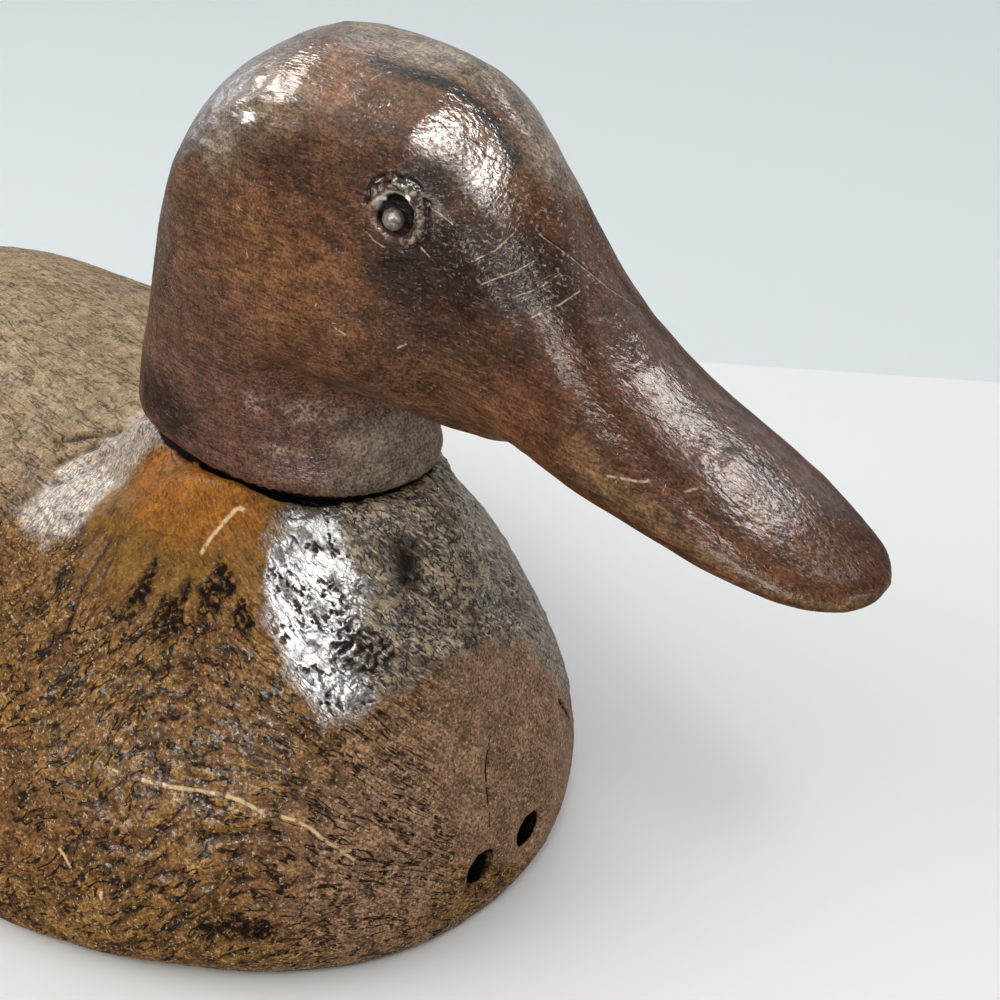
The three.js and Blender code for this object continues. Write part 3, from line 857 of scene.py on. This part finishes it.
broad = (0.45 * folds + 0.10 * wrinkles + 0.22 * lumps(at, 14, 51)
         + 0.12 * lumps(at, 6, 52) + 0.03 * lumps(at, 2.2, 53))
foot = 1 - fade(z, 95.8, 99)
height = (broad * (1 - 0.7 * foot) * fade(to_eye, 4, 8)
          + (0.28 + 0.25 * lumps(at, 1.1, 57)) * rim - 0.42 * groove)
# The foot is worn back at its lower edge, which opens the joint.
undercut = 1 - fade(z, 96.0, 96.8)
out_from_neck = np.hypot((x - SEAT_MIDDLE) / SEAT_LONG, y / SEAT_WIDE)
height -= 1.1 * undercut * fade(out_from_neck, 0.8, 0.93) * (facing[:, 2] > -0.8)
at = at + facing * height[:, None]
facing = normals_of(mesh, at)


def by_eye(*places):
    """Points on a line beside the near eye, from how far ahead and above it."""
    return [tuple(EYE + a * EYE_FORWARD + np.array((0, 0, b))) for a, b in places]


# Scratches and cracks too fine for the mesh: half width, and the line.
HEAD_SCRATCHES = [
    (0.13, (131.5, -12.9, 152.6), (134.2, -10.8, 154.7), (135.3, -7.9, 157.2)),
    (0.13, (138.9, -11.4, 148.8), (141.4, -8.3, 150.4), (142.5, -4.3, 152.6),
     (142.1, -2.4, 153.9)),
    (0.13, (142.4, -11.0, 146.5), (144.7, -7.2, 148.5), (145.5, -2.0, 150.6)),
    (0.10, (133.6, -13.1, 149.6), (137.7, -9.9, 152.1), (139.6, -5.8, 154.4)),
    (0.20, (163.4, -15.0, 130.4), (165.8, -14.7, 130.9), (168.9, -13.9, 131.3),
     (170.4, -13.1, 131.7)),
    (0.14, (84.1, -23.8, 151.6), (88.9, -23.5, 150.2)),
    (0.16, (86.9, -24.0, 145.0), (87.4, -24.0, 143.4)),
    (0.14, (101.9, -12.3, 173.3), (103.9, -13.5, 172.0), (105.8, -14.5, 170.7)),
    (0.16, (104.3, -10.8, 174.0), (105.0, -9.4, 174.8), (106.7, -8.3, 175.3)),
    (0.15, (106.9, -20.8, 136.4), (109.5, -19.7, 135.3)),
    (0.15, (117.7, -16.4, 135.2), (119.3, -15.7, 136.2)),
    (0.22, (175.0, -11.6, 131.3), (175.3, -10.8, 131.6), (176.0, -9.9, 131.8)),
    (0.20, (180.6, 0.8, 131.7), (180.7, 2.0, 131.6), (181.3, 2.8, 131.3)),
    (0.14, (137.7, -5.6, 157.4), (141.6, -3.0, 154.6), (146.7, 0.6, 150.1),
     (148.9, 5.1, 146.5)),
    (0.14, *by_eye((4.3, -3.9), (5.6, -4.4), (6.8, -5.3))),
    (0.13, *by_eye((-6.2, -4.9), (-4.8, -2.8))),
    (0.11, *by_eye((5.8, 2.6), (8.2, 1.6), (10.7, 0.4))),
    (0.12, *by_eye((-5.0, -3.4), (-3.6, -4.6), (-1.4, -5.4))),
]
HEAD_CRACKS = [
    (0.15, (121.0, -9.2, 169.3), (123.7, -7.7, 168.6), (126.3, -6.2, 167.7)),
    (0.14, (129.5, -8.9, 162.2), (132.1, -7.6, 161.0)),
    (0.17, (137.7, -5.2, 157.1), (141.6, -2.6, 154.3), (146.7, 1.0, 149.8),
     (148.9, 5.5, 146.2)),
    (0.22, *by_eye((-3.4, 4.3), (0.9, 5.8), (4.0, 4.8), (5.9, 2.7))),
]
mark_lines(mesh, at, facing, "scratch", HEAD_SCRATCHES)
mark_lines(mesh, at, facing, "crack", HEAD_CRACKS)

# Where each stain, wear and finish lies, and where shade, sheen and highlights are painted.
grey = spots(at, [((56, 0, 150), (10, 26, 34)), ((74, -20, 164), (14, 10, 7)),
                 ((96, 0, 104), (8, 14, 9))], seed=61)
# Darker patches round and below the eyes, along the jaw, and low at the back of the neck.
darkened_patches = spots(at, [((130, -13, 152), (14, 8, 9)), ((121, -17, 148), (9, 5, 6)),
                  ((138, -9, 151), (9, 8, 6)), ((130, 13, 154), (13, 7, 8)),
                  ((122, -14, 161), (6, 5, 6)), ((52, -20, 104), (14, 8, 6))],
              edge=0.5, seed=66)
darkened_patches = np.maximum(darkened_patches, 0.55 * spots(at, [((127, -15, 142), (15, 8, 8)),
                                           ((140, -13, 145), (12, 7, 6))],
                                       edge=0.6, seed=74))
warm = np.maximum(spots(at, [((95, -14, 173), (10, 8, 6))], edge=0.6, seed=67),
                  0.35 * spots(at, [((102, -22, 142), (20, 9, 12))], edge=0.7, seed=68))
# Painted shade: a dark line along the edge where the flat top of the head turns down to its
# near side.
far, _ = along_line(at, [(101.3, -8.1, 176.1), (107.7, -7.6, 175.7), (113.7, -6.6, 175.5),
                        (120, -4.9, 173.9), (125.6, -3.7, 170.4), (130.4, -3.9, 166.2)])
crest_shade = 1 - fade(far + 0.4 * lumps(at, 3, 68), 0.5, 1.6)
# Dust on the top of the head, partly painted sheen where the top catches the light; at the
# nape the pale paint stands in for the highlight, and the varnish there is thinned.
dust_and_sheen = (spots(at, [((108, 5, 178), (30, 11, 7)), ((132, 6, 168), (12, 8, 8))], seed=69)
         * (1 - crest_shade))
dust_and_sheen = np.maximum(dust_and_sheen, 0.55 * spots(at, [((97, -2, 104), (6, 13, 9))], edge=0.6, seed=73))
nape_painted_sheen = spots(at, [((86, -17, 171), (10, 8, 8)), ((78, -22, 163), (6, 6, 8))],
                  edge=0.6, seed=75)
dust_and_sheen = np.maximum(dust_and_sheen, 0.5 * nape_painted_sheen)
smear = (spots(at, [((81, -20, 113.5), (2.4, 3, 2.4)), ((90, -14, 113), (6.5, 5, 2.8)),
                   ((95, -6, 106.5), (4, 6, 2.6)), ((85.5, -18.3, 104.8), (5.5, 3, 1.5))],
               seed=70)
         * fade(lumps(at, (2.0, 2.0, 1.2), 71) + 0.5 * lumps(at, 0.6, 72), -0.3, 0.2))
# Two painted highlights on the lip of each socket, as small pale spots.
glints = np.zeros(len(at))
for a, b, reach in ((-2.6, 2.0, 0.6), (2.4, 3.0, 0.7)):
    far = np.hypot(ahead - a, above - b) + (to_eye > 6)
    glints = np.maximum(glints, 1 - fade(far, reach * 0.5, reach))
from_middle = np.hypot(ahead, above)
# Painted shade inside the sockets, strongest in the upper part and weaker at the bottom.
socket_shade = ((1 - fade(from_middle, 3.3, 3.7)) * (to_eye < 9)
             * (0.6 + 0.4 * fade(above, -2.5, -1)))
# A painted highlight: a pale crescent round the upper lip of each socket.
rim_highlight = (np.exp(-((from_middle - 3.45) / 0.28) ** 2) * fade(above, -0.3, 1.2)
            * (to_eye < 9))
purple = (1 - fade(z + 8 * lumps(at, 12, 79), 112, 146)) * (1 - fade(x, 108, 124))
top_side = fade(facing[:, 2] + 0.12 * lumps(at, 8, 62), 0.42, 0.68)
back_side = fade(-facing[:, 0] + 0.1 * lumps(at, 8, 63), 0.35, 0.8)
bill_side = fade(x, 126, 138) * fade(np.abs(facing[:, 1]), 0.22, 0.42)
bill = fade(x + 4 * lumps(at, 9, 85), 126, 146)
bill_rim = fade(x, 150, 162) * (1 - fade(np.abs(facing[:, 2] - 0.1), 0.1, 0.45))
# Painted shade along the shallow valley on top of the bill.
bill_valley_shade = spots(at, [((168, -1, 136.5), (12, 2.4, 3)), ((180, 0.4, 132), (9, 2.4, 3))],
                    seed=64)
pebbled = spots(at, [((134, 0, 156), (17, 18, 12)), ((110, -15, 172), (5, 6, 4))], seed=65)
top_side *= ((1 - 0.92 * bill_side) * (1 - 0.7 * dust_and_sheen) * (1 - 0.5 * nape_painted_sheen)
             * (1 - 0.85 * fade(x, 184, 192)))
for name, values in {
        "greyed": grey, "darkened_patches": darkened_patches, "warm": warm, "crest_shade": crest_shade, "dust_and_sheen": dust_and_sheen,
        "smear": smear, "glint": glints, "socket_shade": socket_shade, "rim_highlight": rim_highlight,
        "purple": purple, "bill": bill, "top_side": top_side, "back_side": back_side,
        "bill_rim": bill_rim, "bill_valley_shade": bill_valley_shade, "pebbled": pebbled,
        "rim": rim, "groove": groove, "joint": undercut}.items():
    store(mesh, name, values)

# Close softwood, stained red-brown and varnished. Fine fibres run towards the
# bill, and the varnish mirrors the windows where it is whole and is dull where
# it is worn.
head_wood, shader = new_material("varnished_red_brown_softwood", Specular_IOR_Level=0.02,
                                 Coat_Roughness=0.18, Coat_IOR=1.5)
place = add(head_wood, "TexCoord", out=3)
colour = stain(head_wood, linear("#482e1f"), "#69482f",
               clouds(head_wood, place, (26, 14, 14), 0.4, 0.6, detail=3.0))
# The crest line and the valley of the bill are painted shade, and the dust on the top is
# partly painted sheen.
for over, *masks in (
        ("#5a3d31", "purple"), ("#4c3d30", "greyed"), ("#834f1f", "warm", 0.6),
        ("#4c2a18", "bill", 0.7), ("#2a1c14", "darkened_patches"), ("#887a68", "dust_and_sheen"),
        ("#21140d", "crest_shade"), ("#7a6040", "bill_rim", 0.6), ("#2a160c", "bill_valley_shade")):
    colour = stain(head_wood, colour, over, *masks)
# Stain in blotches, the fibres and the open grain.
blotches = clouds(head_wood, place, (5, 3.0, 3.0), 0.36, 0.64, 0.6, 1.4, 3.0)
fibre = clouds(head_wood, place, (7.0, 0.6, 0.6), 0.37, 0.63, 0.7, 1.3, 3.0)
speckle = clouds(head_wood, place, (0.6, 0.5, 0.5), 0.37, 0.63, 0.45, 1.55, 4.0)
for pattern, share in ((blotches, 0.9), (fibre, 0.85), (speckle, 0.9)):
    colour = stain(head_wood, colour, pattern, share, mode="MULTIPLY")
# Threads and worn places, pale flecks that are painted glints, the socket, scratches and
# cracks.
# Painted shade, nearly black, in the open joint under the foot.
opening_shade = add(head_wood, "MapRange", {0: where(head_wood, "joint"), 1: 0.2, 2: 0.6})
for over, *masks in (
        ("#160b06", clouds(head_wood, place, (5.0, 0.5, 0.5), 0.57, 0.65), 0.55),
        ("#93705a", clouds(head_wood, place, (2.4, 0.4, 0.4), 0.59, 0.69), 0.45),
        # pale flecks all over: painted glints of the varnish
        ("#b89d84", clouds(head_wood, place, (0.6, 0.6, 0.6), 0.68, 0.74),
         clouds(head_wood, place, (9, 9, 9), 0.42, 0.6), 0.8),
        # pale specks in the pebbled places: painted glints too
        ("#a58f7c", "pebbled", clouds(head_wood, place, (0.7, 0.7, 0.7), 0.60, 0.68), 0.7),
        ("#a39684", "rim", clouds(head_wood, place, (0.7, 0.7, 0.7), 0.42, 0.52)),
        # the groove round each eye is painted nearly black, as painted shade
        ("#150c08", "groove"),
        ("#a8917e", "smear", clouds(head_wood, place, (0.6, 0.6, 0.6), 0.42, 0.58,
                                    0.0, 0.8, 3.0)),
        # painted shade inside the sockets
        ("#120a06", "socket_shade"),
        # painted highlight on the upper lip of each socket
        ("#c4b9aa", "rim_highlight", clouds(head_wood, place, (0.6, 0.6, 0.6), 0.34, 0.46)),
        ("#b8a38c", line_mask(head_wood, "scratch", 0.8),
         clouds(head_wood, place, (0.8, 0.8, 0.8), 0.36, 0.56, 0.25, 0.9)),
        # the glints are painted highlights
        ("#efe9e0", "glint"), ("#140a06", line_mask(head_wood, "crack", 0.3)),
        ("#070403", opening_shade)):
    colour = stain(head_wood, colour, over, *masks)

gloss = clouds(head_wood, place, (3.5, 3.5, 3.5), 0.35, 0.65, 0.36, 0.52)
coat = add(head_wood, "Math", {0: where(head_wood, "top_side"), 1: 0.9, 2: 0.07},
           operation="MULTIPLY_ADD")
coat = add(head_wood, "Math", {0: where(head_wood, "back_side"), 1: 0.6, 2: coat},
           operation="MULTIPLY_ADD", use_clamp=True)
coat = where(head_wood, coat, spared(head_wood, 1.0, opening_shade),
             clouds(head_wood, place, (2.5, 1.2, 1.2), 0.38, 0.50, 0.55, 1.0, 3.0))
pebble = add(head_wood, "Mix", {
    0: where(head_wood, "pebbled"),
    2: clouds(head_wood, place, (3.0, 0.8, 0.8), 0.3, 0.7),
    3: clouds(head_wood, place, (1.0, 1.0, 1.0), 0.3, 0.7)})
film = roughened(head_wood, ((pebble, 0.6, 0.12), (fibre, 0.3, 0.06)))
grain_skin = roughened(head_wood, ((fibre, 0.4, 0.08), (speckle, 0.4, 0.10)), film)
show(head_wood, shader, Base_Color=colour, Roughness=gloss, Coat_Weight=coat,
     Coat_Normal=film, Normal=grain_skin)
mesh.materials.append(head_wood)
mesh.shade_smooth()
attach(head, "root")
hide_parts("head")

# ---------------------------------------------------------------------------
# The eyes: small domed iron tacks, driven low into drilled sockets, dark with
# rust and old varnish and rubbed grey on the dome.
# ---------------------------------------------------------------------------
# Iron under rust and varnish: dull and brown, with a little grey metal showing.
tack_iron, shader = new_material("rusted_tack_iron", Metallic=0.25, Specular_IOR_Level=0.3)
# The spots of rust are about two thirds of a millimetre across.
rust = add(tack_iron, "TexNoise", {"Vector": add(tack_iron, "TexCoord", out=3),
                                   "Scale": 1500.0, "Detail": 4.0})
colour = stain(tack_iron, linear("#665e57"), "#2e2620",
               add(tack_iron, "MapRange", {0: rust, 1: 0.42, 2: 0.6}))
gloss = add(tack_iron, "MapRange", {0: rust, 1: 0.4, 2: 0.6, 3: 0.5, 4: 0.7})
show(tack_iron, shader, Base_Color=colour, Roughness=gloss)
for node in ("eye_tack_right", "eye_tack_left"):
    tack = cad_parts[node]
    tack.data.materials.clear()
    tack.data.materials.append(tack_iron)
    for face in tack.data.polygons:
        face.material_index = 0
    tack.data.shade_smooth()
